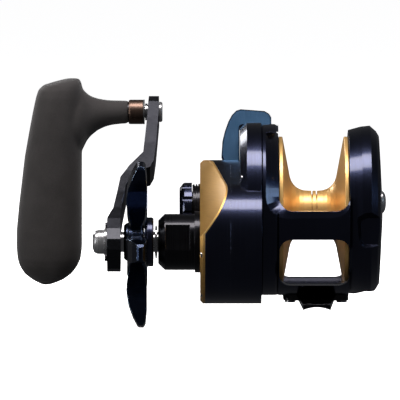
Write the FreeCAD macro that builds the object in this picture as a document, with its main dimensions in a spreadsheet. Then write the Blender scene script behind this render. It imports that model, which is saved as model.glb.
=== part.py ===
import FreeCAD, Part
import Sketcher
import math
import os
from FreeCAD import Vector, Placement, Rotation, Matrix

# Trolling reel, star drag, single-speed, spool on a through shaft.
# Frame: +X along the spool axis (away from the handle), +Y away from the rod tip side,
# +Z up. Origin: centre of the reel foot's saddle, on the crown of its arc.

doc = FreeCAD.newDocument("trolling_reel")
sheet = doc.addObject("Spreadsheet::Sheet", "Dims")

DIMS = [
    # overall layout
    ("spool_z", 35.7, "spool axis above the rod seat"),
    ("handle_back", -21.6, "handle axis, along Y from the spool axis"),
    ("handle_z", 25.2386, "handle axis above the rod seat"),
    ("axis_distance", 24.0, "spool axis to handle axis"),
    # frame
    ("frame_left", -21.8, "left face of the frame"),
    ("wall_left_in", -15.0, "inner face of the left wall"),
    ("wall_right_in", 13.0, "inner face of the right wall"),
    ("frame_right", 26.7, "outer face of the right wall"),
    ("frame_r", 35.0, "outer radius of the frame"),
    ("spool_space_r", 30.9, "radius cleared for the spool"),
    ("ring_bore_r", 30.6, "left wall bore"),
    ("frame_bottom", -32.4, "flat under the frame, from the spool axis"),
    ("bar_top", 2.6, "top of the front and rear bars"),
    ("bar_bottom", -8.7, "underside of the front and rear bars"),
    ("floor_top", -27.9, "top edge of the floor"),
    ("bar_corner_r", 5.6, "corner radius of the frame openings"),
    # gear side
    ("side_left", -34.1, "left face of the side plate"),
    ("ring_left", -30.2, "left face of the tall ring"),
    ("ring_r", 35.7, "outer radius of the tall ring"),
    ("plug_right", -15.2, "inner face of the side plate plug"),
    ("plug_r", 30.55, "radius of the side plate plug"),
    ("cavity_floor", -24.6, "floor of the gear cavity"),
    ("lobe_r", 24.5, "gear cover radius about the handle axis"),
    ("top_r", 20.6, "gear cover radius about the spool axis"),
    ("cavity_lobe_r", 22.2, "cavity radius about the handle axis"),
    ("cavity_top_r", 17.6, "cavity radius about the spool axis"),
    ("cover_left", -44.2, "left face of the gear cover"),
    ("facet_d", 43.34, "distance of the gear cover's slanted facet from the spool axis at X 0"),
    ("cover_wall", 2.0, "end wall of the gear cover"),
    ("plate_left", -46.2, "left face of the cover plate"),
    # spool
    ("spool_left", -14.8, "left face of the spool"),
    ("spool_width", 27.6, "spool over its flanges"),
    ("spool_r", 30.0, "flange radius"),
    ("flange_rim", 1.6, "rim width"),
    ("arbor_r", 8.4, "arbor radius"),
    ("shaft_r", 2.0, "spool shaft radius"),
    ("shaft_left", -50.0, "left end of the spool shaft"),
    ("shaft_length", 70.0, "spool shaft length"),
    ("bearing_r", 5.0, "spool bearing outside radius"),
    ("bearing_w", 4.0, "spool bearing width"),
    ("run_gap", 0.05, "radial running clearance"),
    # gears
    ("gear_module", 0.6, "gear module"),
    ("gear_teeth", 69, "main gear teeth"),
    ("pinion_teeth", 11, "pinion teeth"),
    ("gear_left", -39.5, "left face of the main gear"),
    ("gear_w", 4.0, "main gear width"),
    # drive
    ("drive_r", 4.0, "drive shaft radius"),
    ("drive_left", -87.0, "left end of the drive shaft"),
    ("drive_length", 61.8, "drive shaft length"),
    ("housing_left", -62.8, "left end of the drive housing"),
    ("housing_r", 11.15, "drive housing radius"),
    ("clutch_r", 8.8, "roller clutch outside radius"),
    ("clutch_left", -59.5, "left face of the roller clutch"),
    ("clutch_w", 10.0, "roller clutch width"),
    # brake knob
    ("knob_left", -54.4, "left face of the brake knob"),
    ("knob_r", 11.6, "brake knob radius"),
    ("boss_left", -52.2, "left end of the brake boss"),
    ("boss_thread_r", 8.0, "brake boss thread radius"),
    # star and handle
    ("star_left", -76.4, "left face of the star hub"),
    ("star_w", 8.0, "star hub width"),
    ("star_tip_r", 34.0, "star tip radius"),
    ("arm_left", -83.0, "left face of the handle arm at the drive shaft"),
    ("arm_thick", 5.4, "handle arm thickness at the drive shaft"),
    ("arm_reach", 72.4, "handle arm, drive axis to knob axis"),
    ("arm_lean", 48.0, "angle the arm leans back from upright at rest"),
    ("knob_y", 32.2037, "knob axis, along Y, at rest"),
    ("knob_z", 73.6837, "knob axis above the rod seat, at rest"),
    ("drag_r", 15.4, "drag washer radius"),
    ("grip_left", -120.7, "left end of the grip"),
    ("neck_r", 4.7, "grip neck radius"),
    ("grip_bar_r", 13.35, "grip cross bar radius"),
    # foot
    ("foot_length", 62.0, "reel foot length along the rod"),
    ("foot_w", 15.6, "reel foot width at its block"),
    ("foot_tip_w", 10.8, "reel foot width at its tips"),
    ("saddle_r", 13.8, "rod saddle radius"),
    ("foot_top", 3.3, "top of the foot"),
]
DIM = {}
sheet.set("A1", "name")
sheet.set("B1", "value")
sheet.set("C1", "what it is")
for i, (name, value, note) in enumerate(DIMS):
    row = i + 2
    sheet.set("A%d" % row, name)
    sheet.set("B%d" % row, str(value))
    sheet.setAlias("B%d" % row, name)
    sheet.set("C%d" % row, note)
    DIM[name] = float(value)
doc.recompute()

ZS = DIM["spool_z"]
YH = DIM["handle_back"]
ZH = DIM["handle_z"]
EXPORT = []


class C:
    """A coordinate driven by one cell: k * cell + off - base cell."""

    def __init__(self, name, off=0.0, k=1.0, base=None):
        self.v = DIM[name] * k + off - (DIM[base] if base else 0.0)
        self.e = "Dims.%s * %s + (%s)" % (name, repr(float(k)), repr(float(off)))
        if base:
            self.e += " - Dims.%s" % base


def val(c):
    return c.v if isinstance(c, C) else float(c)


def bind_place(obj, axis, x=None):
    """Put an object on one of the axes, with its place bound to the sheet."""
    y, z, x0 = 0.0, 0.0, 0.0
    if axis == "S":
        z = ZS
    elif axis == "H":
        y, z = YH, ZH
    elif axis == "K":
        y, z = DIM["knob_y"], DIM["knob_z"]
    if x is not None:
        x0 = DIM[x]
    obj.Placement = Placement(Vector(x0, y, z), Rotation())
    if axis == "S":
        obj.setExpression("Placement.Base.z", "Dims.spool_z")
    elif axis == "H":
        obj.setExpression("Placement.Base.y", "Dims.handle_back")
        obj.setExpression("Placement.Base.z", "Dims.handle_z")
    elif axis == "K":
        obj.setExpression("Placement.Base.y", "Dims.knob_y")
        obj.setExpression("Placement.Base.z", "Dims.knob_z")
    if x is not None:
        obj.setExpression("Placement.Base.x", "Dims.%s" % x)


def role(body, name):
    return [f for f in body.Origin.OriginFeatures if f.Role == name][0]


def polygon(sk, pts):
    n = len(pts)
    xy = [(val(p[0]), val(p[1])) for p in pts]
    for i in range(n):
        a, b = xy[i], xy[(i + 1) % n]
        sk.addGeometry(Part.LineSegment(Vector(a[0], a[1], 0), Vector(b[0], b[1], 0)), False)
    for i in range(n):
        sk.addConstraint(Sketcher.Constraint("Coincident", i, 2, (i + 1) % n, 1))
    for i in range(n):
        cx = sk.addConstraint(Sketcher.Constraint("DistanceX", -1, 1, i, 1, xy[i][0]))
        if isinstance(pts[i][0], C):
            sk.renameConstraint(cx, "px%d" % i)
            sk.setExpression("Constraints.px%d" % i, pts[i][0].e)
        cy = sk.addConstraint(Sketcher.Constraint("DistanceY", -1, 1, i, 1, xy[i][1]))
        if isinstance(pts[i][1], C):
            sk.renameConstraint(cy, "py%d" % i)
            sk.setExpression("Constraints.py%d" % i, pts[i][1].e)


def new_body(label, axis, x):
    body = doc.addObject("PartDesign::Body", "B_" + label)
    body.Label = label
    bind_place(body, axis, x)
    return body


def sketch_on(body, plane, tag):
    sk = body.newObject("Sketcher::SketchObject", "S_" + tag)
    sk.AttachmentSupport = [(role(body, plane), "")]
    sk.MapMode = "FlatFace"
    return sk


def turned(label, axis, x, pts, keep=True):
    """A turned body: polygon of (along the axis, radius), spun about X."""
    body = new_body(label, axis, x)
    sk = sketch_on(body, "XY_Plane", label)
    polygon(sk, pts)
    rev = body.newObject("PartDesign::Revolution", "R_" + label)
    rev.Profile = sk
    rev.ReferenceAxis = (sk, ["H_Axis"])
    rev.Angle = 360
    if keep:
        EXPORT.append(body)
    return body


def drill(body, label, circles, length=None):
    """Round holes along X; circles are (y, z, radius) about the body's axis."""
    sk = sketch_on(body, "YZ_Plane", label)
    for n, (y, z, r) in enumerate(circles):
        rv = val(r)
        sk.addGeometry(Part.Circle(Vector(y, z, 0), Vector(0, 0, 1), rv), False)
        sk.addConstraint(Sketcher.Constraint("DistanceX", -1, 1, n, 3, y))
        sk.addConstraint(Sketcher.Constraint("DistanceY", -1, 1, n, 3, z))
        c = sk.addConstraint(Sketcher.Constraint("Radius", n, rv))
        if isinstance(r, C):
            sk.renameConstraint(c, "r%d" % n)
            sk.setExpression("Constraints.r%d" % n, r.e)
    pk = body.newObject("PartDesign::Pocket", "P_" + label)
    pk.Profile = sk
    if length is None:
        pk.Type = "ThroughAll"
        pk.SideType = "Symmetric"
    else:
        pk.Type = "Length"
        pk.Length = length
        pk.Reversed = True
    return pk


def feature(label, shape, axis=None, keep=True):
    """A shape made from the sheet's sizes, placed by the sheet."""
    ob = doc.addObject("Part::Feature", "F_" + label)
    ob.Label = label
    place = shape.Placement
    if not place.isIdentity():
        m = place.toMatrix()
        shape = shape.copy()
        shape.Placement = Placement()
        shape.transformShape(m, True)
    ob.Shape = shape
    if axis:
        bind_place(ob, axis)
    else:
        ob.Placement = Placement(Vector(0, 0, 0), Rotation())
        ob.setExpression("Placement.Base.x", "Dims.spool_left - (%s)" % repr(DIM["spool_left"]))
    if keep:
        EXPORT.append(ob)
    return ob


def cyl(r, x0, x1, y=0.0, z=0.0):
    return Part.makeCylinder(r, x1 - x0, Vector(x0, y, z), Vector(1, 0, 0))


def cone(r0, r1, x0, x1, y=0.0, z=0.0):
    return Part.makeCone(r0, r1, x1 - x0, Vector(x0, y, z), Vector(1, 0, 0))


def box(x0, x1, y0, y1, z0, z1):
    return Part.makeBox(x1 - x0, y1 - y0, z1 - z0, Vector(x0, y0, z0))


def spin(shape, deg):
    """Turn a copy about the X axis."""
    s = shape.copy()
    s.rotate(Vector(0, 0, 0), Vector(1, 0, 0), deg)
    return s


def prism_x(pts, x0, x1):
    """Extrude a (y, z) polygon along X."""
    w = Part.makePolygon([Vector(x0, p[0], p[1]) for p in pts] + [Vector(x0, pts[0][0], pts[0][1])])
    return Part.Face(w).extrude(Vector(x1 - x0, 0, 0))


def prism_y(pts, y0, y1):
    """Extrude an (x, z) polygon along Y."""
    w = Part.makePolygon([Vector(p[0], y0, p[1]) for p in pts] + [Vector(pts[0][0], y0, pts[0][1])])
    return Part.Face(w).extrude(Vector(0, y1 - y0, 0))


def spun(pts):
    """Solid of revolution about X from an (x, r) polygon."""
    w = Part.makePolygon([Vector(p[0], p[1], 0) for p in pts] + [Vector(pts[0][0], pts[0][1], 0)])
    return Part.Face(w).revolve(Vector(0, 0, 0), Vector(1, 0, 0), 360)


def rounded_rect(x0, x1, z0, z1, r, y):
    """Closed wire of a rectangle with round corners, in the plane at y."""
    V = lambda a, b: Vector(a, y, b)
    k = r * (1 - math.sqrt(0.5))
    e = [
        Part.LineSegment(V(x0 + r, z0), V(x1 - r, z0)),
        Part.Arc(V(x1 - r, z0), V(x1 - k, z0 + k), V(x1, z0 + r)),
        Part.LineSegment(V(x1, z0 + r), V(x1, z1 - r)),
        Part.Arc(V(x1, z1 - r), V(x1 - k, z1 - k), V(x1 - r, z1)),
        Part.LineSegment(V(x1 - r, z1), V(x0 + r, z1)),
        Part.Arc(V(x0 + r, z1), V(x0 + k, z1 - k), V(x0, z1 - r)),
        Part.LineSegment(V(x0, z1 - r), V(x0, z0 + r)),
        Part.Arc(V(x0, z0 + r), V(x0 + k, z0 + k), V(x0 + r, z0)),
    ]
    return Part.Wire([s.toShape() for s in e])


def hull2(r_s, r_h, x0, x1):
    """Prism around two circles (spool axis and handle axis) and their tangents.

    Local to the spool axis.
    """
    hy, hz = YH, ZH - ZS
    d = math.hypot(hy, hz)
    a = math.atan2(hz, hy)
    b = math.acos((r_s - r_h) / d)
    pts = []
    for s in (1, -1):
        t = a + s * b
        pts.append((r_s * math.cos(t), r_s * math.sin(t)))
        pts.append((hy + r_h * math.cos(t), hz + r_h * math.sin(t)))
    quad = prism_x([pts[0], pts[1], pts[3], pts[2]], x0, x1)
    return quad.fuse([cyl(r_s, x0, x1), cyl(r_h, x0, x1, hy, hz)]).removeSplitter()


def polar(r, deg):
    """(y, z) at an angle from +Z towards +Y."""
    t = math.radians(deg)
    return r * math.sin(t), r * math.cos(t)


def solid_of(shape):
    """The one solid of a boolean result."""
    if len(shape.Solids) == 1:
        return shape.Solids[0]
    return shape


# direction helpers about the spool axis
HY, HZ = YH, ZH - ZS
LINE_DEG = math.degrees(math.atan2(HY, HZ))      # spool axis -> handle axis, from +Z towards +Y
YOKE_DEG = LINE_DEG + 90.0                       # the yoke lies across that line

# ---------------------------------------------------------------- frame
R = DIM["frame_r"]
xl, xi, xr, xo = DIM["frame_left"], DIM["wall_left_in"], DIM["wall_right_in"], DIM["frame_right"]
zb = DIM["frame_bottom"]
blank = spun([
    (xl, 0), (xl, R - 0.5), (xl + 0.5, R), (xi - 1.4, R), (xi, R - 0.8), (xr - 0.2, 32.6), (18.0, 34.0),
    (21.6, 34.4), (24.1, 32.2), (25.2, 30.4), (25.9, 20.0), (26.5, 9.0), (xo, 6.0), (xo, 0),
])
mid = cyl(R, xi - 0.01, xr)
blank = blank.fuse(mid).removeSplitter()
blank = blank.common(box(xl - 1, xo + 1, -40, 40, zb, 40))
# undercut under the right end
blank = blank.cut(prism_y([(15.0, zb - 1), (15.0, zb), (19.3, -30.8), (23.4, -30.8), (25.6, -27.0), (30, -27.0), (30, zb - 1)], -40, 40))
frame = blank.cut(cyl(DIM["ring_bore_r"], xl - 1, xi + 0.01))
frame = frame.cut(cyl(DIM["spool_space_r"], xi, xr + 0.2))
rc = DIM["bar_corner_r"]
# the upper opening, right through front and rear
u_cut = Part.Face(rounded_rect(xi, xr, DIM["bar_top"], 60, rc, -45)).extrude(Vector(0, 90, 0))
frame = frame.cut(u_cut)
# the window between the bar and the floor
w_cut = Part.Face(rounded_rect(xi + 0.2, xr, DIM["floor_top"], DIM["bar_bottom"], 4.6, -45)).extrude(Vector(0, 90, 0))
frame = frame.cut(w_cut)
# wide bevel on the left wall's edge, round the corner and thinning out along the bar, front and rear
def opening_edge(rc_):
    """Points of the upper opening's edge with the way out of it and the bevel's width."""
    pts = [(xi, 11.6, -1, 0, 5.2), (xi, 9.8, -1, 0, 5.2)]
    bt_ = DIM["bar_top"]
    for a_, w_ in ((180, 5.2), (195, 5.05), (210, 4.7), (225, 4.2), (240, 3.7), (255, 3.2), (270, 2.8)):
        t_ = math.radians(a_)
        pts.append((xi + rc_ + rc_ * math.cos(t_), bt_ + rc_ + rc_ * math.sin(t_), math.cos(t_), math.sin(t_), w_))
    for x_ in (-5.0, 0.0, 4.0):
        pts.append((x_, bt_, 0, -1, 2.6))
    for a_, w_ in ((270, 2.4), (290, 2.0), (310, 1.5), (330, 0.9), (345, 0.45)):
        t_ = math.radians(a_)
        pts.append((xr - rc_ + rc_ * math.cos(t_), bt_ + rc_ + rc_ * math.sin(t_), math.cos(t_), math.sin(t_), w_))
    return pts


for s in (-1, 1):
    wires = []
    for xa, za, nx, nz, w_ in opening_edge(rc):
        ra = R - 0.73 * w_ * max(0.42, abs(nx))
        pa = Vector(xa, s * math.sqrt(ra * ra - za * za), za)
        zo = za + w_ * nz
        pb = Vector(xa + w_ * nx, s * math.sqrt(R * R - zo * zo), zo)
        d_ = pb - pa
        p1, p2 = pb + d_ * 0.4, pa - d_ * 0.2
        p3 = Vector(xa - 1.6 * nx, s * 38.0, za - 1.6 * nz)
        wires.append(Part.makePolygon([p1, p2, p3, p1]))
    cutter = Part.makeLoft(wires, True, True)
    frame = frame.cut(cutter)
# the same bevel turned on the left wall's edge further up
ch = spun([(xi - 5.2 - 0.55, R + 0.4), (xi + 0.3, R - 3.8 - 0.22), (xi + 0.3, R + 1.0), (xi - 5.75, R + 1.0)])
frame = frame.cut(ch.common(box(xl - 2, xr, -40, 40, 11.5, 32.6)))
# finger facets on the right wall
for s in (-1, 1):
    pts_out = [(14.2, 1.4), (18.6, 3.4), (30, 3.4), (30, -13.4), (17.0, -13.4), (14.2, -9.0)]
    pts_in = [(17.6, -1.4), (20.0, -0.4), (30, -0.4), (30, -11.0), (19.4, -11.0), (17.6, -9.0)]
    wires = []
    for pts, y in ((pts_out, s * 36.0), (pts_in, s * 30.6)):
        wires.append(Part.makePolygon([Vector(p[0], y, p[1]) for p in pts] + [Vector(pts[0][0], y, pts[0][1])]))
    frame = frame.cut(Part.makeLoft(wires, True, True))
# right wall: click recess, bearing seat, shaft end room
frame = frame.cut(cyl(14.2, xr, 17.4))
frame = frame.cut(cyl(DIM["bearing_r"], 17.3, 17.4 + DIM["bearing_w"]))
frame = frame.cut(cyl(3.4, 21.0, 22.4))
# the click button's slot through the right wall
CLICK_Y, CLICK_Z = -11.6, 4.6
slot = box(17.0, 30, CLICK_Y - 1.6, CLICK_Y + 4.1, CLICK_Z - 1.6, CLICK_Z + 1.6)
frame = frame.cut(slot)
# a flat shoe track for the button on the outer face
frame = frame.cut(box(25.6, 30, CLICK_Y - 5.1, CLICK_Y + 7.6, CLICK_Z - 5.1, CLICK_Z + 5.1))
# screw holes: four into the left wall (from the gear side), four up through the floor for the foot
SIDE_SCREWS = [polar(32.2, a) for a in (72.0, 122.0, -62.0, 205.0)]
for y, z in SIDE_SCREWS:
    frame = frame.cut(cyl(0.85, xl - 1, xl + 4.6, y, z))
FOOT_SCREWS = [(-10.3, -9.0), (-10.3, 9.0), (10.3, -9.0), (10.3, 9.0)]
for x, y in FOOT_SCREWS:
    frame = frame.cut(Part.makeCylinder(1.0, 1.4, Vector(x, y, zb - 0.2), Vector(0, 0, 1)))
feature("frame", solid_of(frame), "S")

# ---------------------------------------------------------------- gear side plate
sl, rl = DIM["side_left"], DIM["ring_left"]
ring = spun([(rl, 0), (rl, 33.2), (rl + 2.6, DIM["ring_r"]), (xl, DIM["ring_r"]), (xl, 0)])
lobe = hull2(DIM["top_r"], DIM["lobe_r"], sl, xl)
plate = ring.fuse([lobe, cyl(DIM["plug_r"], xl - 0.01, DIM["plug_right"])]).removeSplitter()
plate = plate.cut(hull2(DIM["cavity_top_r"], DIM["cavity_lobe_r"], sl - 1, DIM["cavity_floor"]))
# lightening behind the tall ring, seen in the plug face only
boss = cyl(5.95, -31.0, DIM["cavity_floor"] + 0.01)
dboss = cyl(9.6, -28.0, DIM["cavity_floor"] + 0.01, HY, HZ)
plate = plate.fuse([boss, dboss]).removeSplitter()
plate = plate.cut(cyl(4.8, -32.0, -19.2))
plate = plate.cut(cyl(DIM["bearing_r"], -19.3, DIM["plug_right"] + 1))
plate = plate.cut(cyl(8.0, -29.0, -25.0, HY, HZ))
# slot for the clutch lever's arm
slot = cyl(40.0, -32.7, rl).cut(cyl(12.0, -33.0, -29.0))
sector = prism_x([(0, 0), polar(60, 19.0), polar(60, 42.0), polar(60, 65.0)], -32.7, rl)
plate = plate.cut(slot.common(sector))
# screw holes
for y, z in SIDE_SCREWS:
    plate = plate.cut(cyl(0.95, rl - 1, xl + 1, y, z))
    plate = plate.cut(cyl(1.7, rl - 1, rl + 2.0, y, z))
COVER_SCREWS = []
for a in (165.0, 213.0, 262.0):
    y, z = polar(23.3, a)
    COVER_SCREWS.append((HY + y, HZ + z))
COVER_SCREWS.append(polar(19.1, 100.0))
COVER_SCREWS.append(polar(19.1, 15.0))
for y, z in COVER_SCREWS:
    plate = plate.cut(cyl(0.6, sl - 1, sl + 3.4, y, z))
GUIDES = [polar(14.6, YOKE_DEG), polar(14.6, YOKE_DEG + 180)]
for y, z in GUIDES:
    plate = plate.cut(cyl(1.0, -25.0, -22.8, y, z))
PAWL = (HY + polar(13.2, 225.0)[0], HZ + polar(13.2, 225.0)[1])
plate = plate.cut(cyl(0.8, -25.0, -22.8, PAWL[0], PAWL[1]))
feature("gear_side_plate", solid_of(plate), "S")

# ---------------------------------------------------------------- gear cover
cl = DIM["cover_left"]
FACET_N = Vector(-0.70711, -0.32880, 0.62580)
FACET_N.normalize()


def beyond(d_):
    """Everything outside the slanted facet at the front top, moved to distance d_ from the origin."""
    b_ = Part.makeBox(160, 160, 80, Vector(-80, -80, 0))
    b_.Placement = FreeCAD.Placement(FACET_N * d_, FreeCAD.Rotation(Vector(0, 0, 1), FACET_N))
    return b_


FACET_D = DIM["facet_d"]
cover = hull2(DIM["top_r"], DIM["lobe_r"], cl, sl)
cover = cover.cut(beyond(FACET_D - 0.5))
hollow = hull2(DIM["cavity_top_r"], DIM["cavity_lobe_r"], cl + DIM["cover_wall"], sl + 1).cut(beyond(FACET_D - 1.05))
cover = cover.cut(hollow)
cover = cover.cut(cyl(3.4, cl - 1, cl + 3))
cover = cover.cut(cyl(5.5, cl + 0.4, cl + 3))
cover = cover.cut(cyl(8.5, cl - 1, cl + 3, HY, HZ))
for y, z in COVER_SCREWS:
    cover = cover.cut(cyl(0.7, cl - 1, sl + 1, y, z))
feature("gear_cover", solid_of(cover), "S")

# ---------------------------------------------------------------- cover plate
pl = DIM["plate_left"]
wide = hull2(DIM["top_r"], DIM["lobe_r"], pl, cl)
cplate = wide
# bevels all round, and the skin that covers the slanted facet
hy, hz = HY, HZ
cham = []
for r, cy, cz in ((DIM["top_r"], 0.0, 0.0), (DIM["lobe_r"], hy, hz)):
    cham.append(cone(r - 1.2, r, pl, pl + 1.2, cy, cz))
inner = hull2(DIM["top_r"] - 1.2, DIM["lobe_r"] - 1.2, pl, pl + 1.2)
outer_low = hull2(DIM["top_r"], DIM["lobe_r"], pl + 1.2, cl)
cplate = inner.fuse([cham[0], cham[1], outer_low]).removeSplitter()
cplate = cplate.common(wide)
skin = hull2(DIM["top_r"], DIM["lobe_r"], cl, sl).common(beyond(FACET_D - 0.5))
cplate = cplate.fuse(skin).cut(beyond(FACET_D)).removeSplitter()
cplate = cplate.cut(cyl(3.6, pl - 1, cl + 1))
cplate = cplate.cut(cyl(8.5, pl - 1, cl + 1, hy, hz))
for y, z in COVER_SCREWS:
    cplate = cplate.cut(cyl(0.7, pl - 1, cl + 1, y, z))
    cplate = cplate.cut(cyl(1.1, pl - 1, pl + 1.1, y, z))
feature("cover_plate", solid_of(cplate), "S")

# ---------------------------------------------------------------- fasteners of the housing
def screw(x0, y, z, head_r, head_w, shank_r, length, hex_r):
    s = cyl(head_r, x0, x0 + head_w, y, z).fuse(cyl(shank_r, x0 + head_w - 0.01, x0 + head_w + length, y, z))
    pts = [(y + hex_r * math.cos(math.radians(60 * i)), z + hex_r * math.sin(math.radians(60 * i))) for i in range(6)]
    s = s.cut(prism_x(pts, x0 - 0.1, x0 + head_w * 0.55))
    return s.removeSplitter()


feature("cover_screws", Part.makeCompound(
    [screw(pl + 0.2, y, z, 1.05, 0.85, 0.6, 13.0, 0.55) for y, z in COVER_SCREWS]), "S")
feature("side_plate_screws", Part.makeCompound(
    [screw(rl + 0.4, y, z, 1.65, 1.5, 0.85, 10.0, 0.8) for y, z in SIDE_SCREWS]), "S")

# ---------------------------------------------------------------- reel foot
ft = DIM["foot_top"]
hl = DIM["foot_length"] / 2
prof = [(-hl, -2.0), (hl, -2.0), (hl, 1.3), (21.0, 2.6), (13.0, ft), (-13.0, ft), (-21.0, 2.6), (-hl, 1.3)]
side = prism_x(prof, -20, 20)
w2, t2 = DIM["foot_w"] / 2, DIM["foot_tip_w"] / 2
ears = [(-13.0, -12.6), (13.0, -12.6), (13.0, 12.6), (-13.0, 12.6)]
plan = [(-t2, -hl), (t2, -hl), (w2, -13.5), (w2, 13.5), (t2, hl), (-t2, hl), (-w2, 13.5), (-w2, -13.5)]


def prism_z(pts, z0, z1):
    w = Part.makePolygon([Vector(p[0], p[1], z0) for p in pts] + [Vector(pts[0][0], pts[0][1], z0)])
    return Part.Face(w).extrude(Vector(0, 0, z1 - z0))


foot = side.common(prism_z(plan, -5, 10))
# dovetail flanks: narrower underneath
dove = prism_y([(-t2, -1.15), (t2, -1.15), (w2 + 0.2, 3.0), (w2 + 0.2, 10), (-w2 - 0.2, 10), (-w2 - 0.2, 3.0)], -40, 40)
foot = foot.common(dove)
ear = prism_z(ears, 1.0, ft)
for sx in (-1, 1):
    for sy in (-1, 1):
        ear = ear.cut(box(sx * 13.0 - 3, sx * 13.0 + 3, sy * 12.6 - 3, sy * 12.6 + 3, 0, 10)).fuse(
            Part.makeCylinder(3.0, ft - 1.0, Vector(sx * 10.0, sy * 9.6, 1.0), Vector(0, 0, 1)))
foot = foot.fuse(ear).removeSplitter()
sr = DIM["saddle_r"]
foot = foot.cut(Part.makeCylinder(sr, 80, Vector(0, -40, -sr), Vector(0, 1, 0)))
for x, y in FOOT_SCREWS:
    foot = foot.cut(Part.makeCylinder(1.1, 6, Vector(x, y, 0), Vector(0, 0, 1)))
feature("reel_foot", solid_of(foot))
fs = []
for x, y in FOOT_SCREWS:
    s = Part.makeCylinder(2.1, 0.9, Vector(x, y, 0.1), Vector(0, 0, 1)).fuse(
        Part.makeCylinder(1.0, 3.4, Vector(x, y, 0.99), Vector(0, 0, 1)))
    s = s.cut(Part.makeBox(3.0, 0.6, 0.5, Vector(x - 1.5, y - 0.3, 0.0)))
    fs.append(s.removeSplitter())
feature("foot_screws", Part.makeCompound(fs))

# ---------------------------------------------------------------- bearings
def bearing(label, axis, x, off, bore, r, w):
    """Shielded ball bearing drawn as one turned ring with its shield grooves."""
    wall = r - bore
    g0, g1 = bore + 0.28 * wall, r - 0.28 * wall
    return turned(label, axis, x, [
        (C(x, off, 1, x), bore), (C(x, off, 1, x), g0), (off + 0.3, g0), (off + 0.3, g1), (off, g1), (off, r),
        (off + w, r), (off + w, g1), (off + w - 0.3, g1), (off + w - 0.3, g0), (off + w, g0), (off + w, bore),
    ])


rg = DIM["run_gap"]
bearing("spool_bearing_left", "S", "plug_right", 0.0, 2.05, 5.0, 4.0)
EXPORT[-1].setExpression("Placement.Base.x", "Dims.plug_right - Dims.bearing_w")
bearing("spool_bearing_right", "S", "wall_right_in", 4.4, 2.05, 5.0, 4.0)
bearing("pinion_bearing", "S", "cover_left", 0.4, 2.96, 5.5, 1.8)
bearing("drive_shaft_bearing", "H", "cavity_floor", 0.0, 4.05, 8.0, 3.0)
EXPORT[-1].setExpression("Placement.Base.x", "Dims.cavity_floor - 3.4")

# ---------------------------------------------------------------- brake
bl = DIM["boss_left"]
turned("brake_boss", "S", "boss_left", [
    (0, 4.6), (0, C("boss_thread_r", -0.4)), (0.4, C("boss_thread_r")), (3.0, C("boss_thread_r")),
    (3.0, 10.6), (3.3, 10.9), (3.9, 10.9), (3.9, 10.3), (4.3, 10.3), (4.3, 11.0), (4.9, 11.0), (4.9, 10.4),
    (5.3, 10.4), (5.3, 11.1), (C("plate_left", 0, 1, "boss_left"), 11.1), (C("plate_left", 0, 1, "boss_left"), 4.6),
])
knob = turned("brake_knob", "S", "knob_left", [
    (0, 0), (0, C("knob_r", -2.2)), (1.4, C("knob_r", -0.4)), (2.0, C("knob_r")), (5.0, C("knob_r")),
    (5.0, C("boss_thread_r", 0.08)), (1.9, C("boss_thread_r", 0.08)), (1.9, 0),
])
flutes = []
for i in range(12):
    y, z = polar(12.5, i * 30.0)
    flutes.append((y, z, 1.5))
drill(knob, "brake_flutes", flutes)
turned("brake_pad", "S", "knob_left", [(1.9, 0), (1.9, 4.2), (4.2, 4.2), (4.2, 0)])

# ---------------------------------------------------------------- spool and shaft
sp = turned("spool", "S", "spool_left", [
    (0, 3.2), (0, C("spool_r", -1.6)), (0.2, C("spool_r", -1.2)), (0, C("spool_r", -0.8)), (0, C("spool_r", -0.2)), (0.2, C("spool_r")),
    (C("flange_rim", -0.2), C("spool_r")), (C("flange_rim"), C("spool_r", -0.3)), (4.5, 14.2), (5.0, 12.6), (5.8, 11.2), (6.9, 10.0), (8.3, 9.1), (10.0, C("arbor_r", 0.15)), (11.8, C("arbor_r")),
    (C("spool_width", -11.8), C("arbor_r")), (C("spool_width", -10.0), C("arbor_r", 0.15)), (C("spool_width", -8.3), 9.1), (C("spool_width", -6.9), 10.0), (C("spool_width", -5.8), 11.2), (C("spool_width", -5.0), 12.6), (C("spool_width", -4.5), 14.2),
    (C("spool_width", -1.6), C("spool_r", -0.3)), (C("spool_width", -1.4), C("spool_r")),
    (C("spool_width", -0.2), C("spool_r")), (C("spool_width"), C("spool_r", -0.2)), (C("spool_width"), 3.2),
    (C("spool_width", -3.0), 3.2), (C("spool_width", -3.0), C("shaft_r")), (3.0, C("shaft_r")), (3.0, 3.2),
])
# line tie slots across the arbor
sks = sketch_on(sp, "XY_Plane", "spool_ties")
for n, (a, b) in enumerate(((13.1, 13.6), (14.9, 15.4))):
    rect = [(a, 6.9), (b, 6.9), (b, 9.6), (a, 9.6)]
    base = 4 * n
    for i in range(4):
        p, q = rect[i], rect[(i + 1) % 4]
        sks.addGeometry(Part.LineSegment(Vector(p[0], p[1], 0), Vector(q[0], q[1], 0)), False)
    for i in range(4):
        sks.addConstraint(Sketcher.Constraint("Coincident", base + i, 2, base + (i + 1) % 4, 1))
    for i in range(4):
        sks.addConstraint(Sketcher.Constraint("DistanceX", -1, 1, base + i, 1, rect[i][0]))
        sks.addConstraint(Sketcher.Constraint("DistanceY", -1, 1, base + i, 1, rect[i][1]))
grv = sp.newObject("PartDesign::Groove", "G_spool_ties")
grv.Profile = sks
grv.ReferenceAxis = (sks, ["H_Axis"])
grv.Angle = 360
turned("spool_shaft", "S", "shaft_left", [
    (0, 0), (0, C("shaft_r", -0.5)), (0.5, C("shaft_r")), (C("shaft_length", -0.5), C("shaft_r")),
    (C("shaft_length"), C("shaft_r", -0.5)), (C("shaft_length"), 0),
])
cross = doc.addObject("Part::Cylinder", "cross_pin_raw")
cross.Label = "cross_pin_raw"
cross.Radius = 0.6
cross.Height = 8.0
cross.Placement = Placement(Vector(-28.15, -4.0, ZS), Rotation(Vector(1, 0, 0), -90))
cross.setExpression("Placement.Base.z", "Dims.spool_z")
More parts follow.
